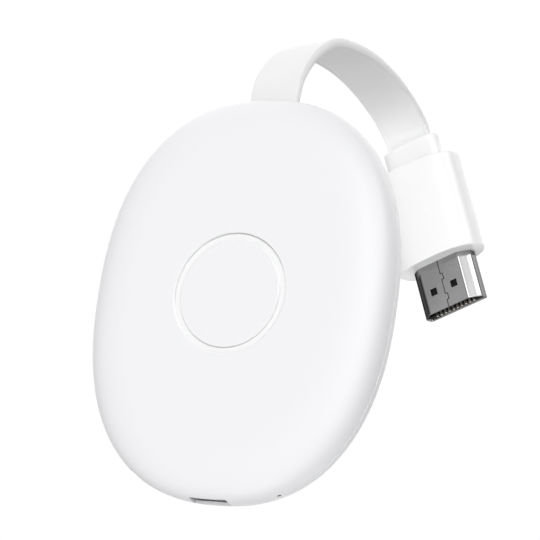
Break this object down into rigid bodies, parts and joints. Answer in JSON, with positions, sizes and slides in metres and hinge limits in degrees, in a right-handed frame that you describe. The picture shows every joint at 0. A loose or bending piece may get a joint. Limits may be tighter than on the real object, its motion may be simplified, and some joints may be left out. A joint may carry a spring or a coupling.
{
  "type": "wireless display dongle",
  "caption": "Oval two-part plastic housing with a flat ribbon cord arching to a video plug, a micro USB socket, a status light hole and a press button.",
  "frame": {"origin": "centre of the video plug's mouth, in the plane of the shell's open end", "axes": "+Z along the housing's long axis towards the cord exit, +X to the right seen from the front, -Y out of the front face"},
  "size_m": [0.062, 0.0674, 0.0988],
  "materials": {
    "housing_white": "fine satin moulded plastic",
    "plug_white": "smooth satin soft plastic",
    "cord_white": "matte soft plastic",
    "nickel_plated": "satin nickel plating",
    "socket_steel": "tin plated steel",
    "shield_steel": "bright nickel silver",
    "black_plastic": "matte black moulded plastic",
    "contact_gold": "gold flash",
    "board_green": "solder mask",
    "chip_black": "moulded epoxy",
    "thermal_pad": "soft silicone",
    "spreader_aluminium": "plain rolled",
    "screw_steel": "zinc plated",
    "ceramic": "fired ceramic",
    "ferrite": "pressed ferrite",
    "light_guide_smoked": "smoked moulded plastic",
    "led_yellow": "clear resin over phosphor",
    "anchor_grey": "soft moulded plastic",
    "copper": "tinned copper"
  },
  "bodies": {
    "dongle": {"front_cover": "housing_white", "rear_cover": "housing_white", "main_board": "board_green", "system_chip": "chip_black", "memory_chips": "chip_black", "flash_chip": "chip_black", "power_chip": "chip_black", "wireless_module": "shield_steel", "crystal_oscillator": "shield_steel", "power_inductors": "ferrite", "ceramic_capacitors": "ceramic", "shield_frame": "shield_steel", "shield_lid": "shield_steel", "chip_thermal_pad": "thermal_pad", "spreader_thermal_pad": "thermal_pad", "heat_spreader": "spreader_aluminium", "left_antenna": "shield_steel", "right_antenna": "shield_steel", "board_screws": "screw_steel", "micro_usb_shell": "socket_steel", "micro_usb_tongue": "black_plastic", "micro_usb_contacts": "contact_gold", "reset_switch_body": "black_plastic", "status_led": "led_yellow", "led_light_guide": "light_guide_smoked", "cable_anchor": "anchor_grey", "cable_connector": "black_plastic", "cable_tail": "copper", "anchor_clamp": "shield_steel", "clamp_screws": "screw_steel", "ribbon_cable": "cord_white", "plug_strain_relief": "plug_white", "plug_overmold": "plug_white", "hdmi_shell": "nickel_plated", "hdmi_insulator": "black_plastic", "hdmi_contacts": "contact_gold", "plug_board": "board_green", "plug_inner_shield": "shield_steel", "plug_conductors": "copper"},
    "reset_button_body": {"reset_button": "housing_white", "switch_plunger": "black_plastic"}
  },
  "joints": [
    {"name": "reset_button_press", "type": "slide", "parent": "dongle", "child": "reset_button_body", "axis": [0.5391, 0, 0.8422], "range_m": [0, 0.00025], "stiffness_N_per_m": 3000}
  ]
}
